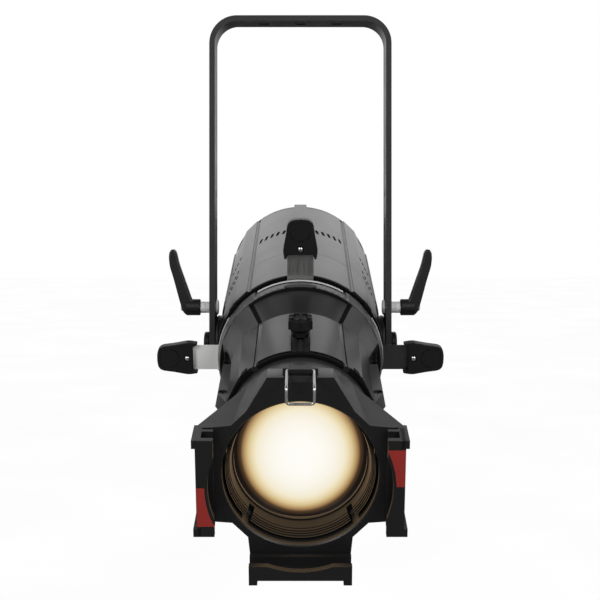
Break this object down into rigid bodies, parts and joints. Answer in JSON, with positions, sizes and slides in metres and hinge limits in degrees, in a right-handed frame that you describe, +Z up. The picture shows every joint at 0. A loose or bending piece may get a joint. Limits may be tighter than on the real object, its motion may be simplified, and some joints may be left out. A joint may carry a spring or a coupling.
{
  "type": "ellipsoidal spotlight",
  "caption": "Stage ellipsoidal spotlight on a flat-bar yoke, with a cylindrical LED housing, four framing shutters, a turning barrel and a lens tube with a slotted accessory holder.",
  "frame": {"origin": "on the yoke's flat top face, on its centre line across, 12.75 mm ahead of the middle clamp hole's axis", "axes": "+Z up out of the yoke's top face, the beam leaves towards -Y (nose 14.62 degrees down at rest), +X across, towards the right-hand leg as seen from in front"},
  "size_m": [0.304, 0.6403, 0.5264],
  "materials": {
    "grey_paint": "satin dark grey powder coat on cast aluminium",
    "dark_paint": "near-black powder coat with a fine texture",
    "bright_steel": "bright zinc-plated steel",
    "blade_steel": "brushed stainless sheet",
    "black_steel": "black oxide steel",
    "bare_aluminium": "bare extruded aluminium",
    "lens_glass": "clear polished glass, lit warm white from behind",
    "circuit_board": "green solder mask",
    "nylon": "natural nylon or ceramic, plain",
    "black_plastic": "black moulded glass-filled nylon with a fine spark texture"
  },
  "bodies": {
    "yoke": {"yoke": "dark_paint", "left_lock_bolt": "bright_steel", "right_lock_bolt": "bright_steel", "left_lock_spacer": "bright_steel", "right_lock_spacer": "bright_steel", "left_friction_washer": "nylon", "right_friction_washer": "nylon"},
    "head": {"left_tilt_boss": "black_plastic", "right_tilt_boss": "black_plastic", "left_pivot_bolt": "black_steel", "right_pivot_bolt": "black_steel", "left_panel": "grey_paint", "right_panel": "grey_paint", "housing_core": "black_steel", "top_panel": "grey_paint", "bottom_panel": "grey_paint", "rear_cover": "black_plastic", "display_window": "black_plastic", "power_inlet": "black_plastic", "power_outlet": "black_plastic", "data_in": "black_plastic", "data_out": "black_plastic", "safety_eye": "bright_steel", "fan_frame": "black_plastic", "heat_sink": "bare_aluminium", "led_module": "nylon", "driver_board": "circuit_board", "collimator": "bare_aluminium", "condenser_lens": "lens_glass"},
    "left_lever": {"left_lever": "black_plastic"},
    "right_lever": {"right_lever": "black_plastic"},
    "fan": {"fan_rotor": "black_plastic"},
    "barrel": {"gate_plate": "black_steel", "shutter_ring": "grey_paint", "upper_barrel": "grey_paint", "lower_barrel": "grey_paint", "left_rear_flange_screw": "black_steel", "left_front_flange_screw": "black_steel", "right_rear_flange_screw": "black_steel", "right_front_flange_screw": "black_steel"},
    "lens_tube": {"lens_tube": "dark_paint", "rear_lens": "lens_glass", "front_lens": "lens_glass", "front_bezel": "black_plastic", "accessory_holder": "black_plastic"},
    "focus_knob": {"focus_knob": "black_plastic"},
    "retaining_clip": {"retaining_clip": "bright_steel"},
    "menu_button_1": {"menu_button_1": "black_plastic"},
    "menu_button_2": {"menu_button_2": "black_plastic"},
    "menu_button_3": {"menu_button_3": "black_plastic"},
    "menu_button_4": {"menu_button_4": "black_plastic"},
    "top_shutter": {"top_shutter_blade": "blade_steel", "top_shutter_grip": "black_plastic"},
    "right_shutter": {"right_shutter_blade": "blade_steel", "right_shutter_grip": "black_plastic"},
    "bottom_shutter": {"bottom_shutter_blade": "blade_steel", "bottom_shutter_grip": "black_plastic"},
    "left_shutter": {"left_shutter_blade": "blade_steel", "left_shutter_grip": "black_plastic"}
  },
  "joints": [
    {"name": "tilt", "type": "hinge", "parent": "yoke", "child": "head", "pos_m": [0, 0.01275, -0.3573], "axis": [1, 0, 0], "range_deg": [-33, 75]},
    {"name": "left_lever_swing", "type": "hinge", "parent": "yoke", "child": "left_lever", "pos_m": [-0.118, 0.01275, -0.3183], "axis": [1, 0, 0], "range_deg": [-80, 80]},
    {"name": "right_lever_swing", "type": "hinge", "parent": "yoke", "child": "right_lever", "pos_m": [0.118, 0.01275, -0.3183], "axis": [1, 0, 0], "range_deg": [-80, 80]},
    {"name": "barrel_turn", "type": "hinge", "parent": "head", "child": "barrel", "pos_m": [0, 0.01275, -0.3573], "axis": [0, -0.9676, -0.2524], "range_deg": [-25, 25]},
    {"name": "fan_spin", "type": "hinge", "parent": "head", "child": "fan", "pos_m": [0, 0.18305, -0.31288], "axis": [0, -0.9676, -0.2524], "continuous": true},
    {"name": "lens_focus", "type": "slide", "parent": "barrel", "child": "lens_tube", "axis": [0, -0.9676, -0.2524], "range_m": [-0.02, 0.025]},
    {"name": "focus_knob_turn", "type": "hinge", "parent": "lens_tube", "child": "focus_knob", "pos_m": [0, -0.16361, -0.33096], "axis": [0, -0.2524, 0.9676], "range_deg": [-180, 180]},
    {"name": "clip_swing", "type": "hinge", "parent": "lens_tube", "child": "retaining_clip", "pos_m": [0, -0.29982, -0.34758], "axis": [1, 0, 0], "range_deg": [-110, 0]},
    {"name": "menu_button_1_press", "type": "slide", "parent": "head", "child": "menu_button_1", "axis": [0, -0.9676, -0.2524], "range_m": [0, 0.0012]},
    {"name": "menu_button_2_press", "type": "slide", "parent": "head", "child": "menu_button_2", "axis": [0, -0.9676, -0.2524], "range_m": [0, 0.0012]},
    {"name": "menu_button_3_press", "type": "slide", "parent": "head", "child": "menu_button_3", "axis": [0, -0.9676, -0.2524], "range_m": [0, 0.0012]},
    {"name": "menu_button_4_press", "type": "slide", "parent": "head", "child": "menu_button_4", "axis": [0, -0.9676, -0.2524], "range_m": [0, 0.0012]},
    {"name": "top_shutter_slide", "type": "slide", "parent": "barrel", "child": "top_shutter", "axis": [0, 0.2524, -0.9676], "range_m": [-0.01, 0.018]},
    {"name": "right_shutter_slide", "type": "slide", "parent": "barrel", "child": "right_shutter", "axis": [-1, 0, 0], "range_m": [-0.01, 0.018]},
    {"name": "bottom_shutter_slide", "type": "slide", "parent": "barrel", "child": "bottom_shutter", "axis": [0, -0.2524, 0.9676], "range_m": [-0.01, 0.018]},
    {"name": "left_shutter_slide", "type": "slide", "parent": "barrel", "child": "left_shutter", "axis": [1, 0, 0], "range_m": [-0.01, 0.018]}
  ]
}
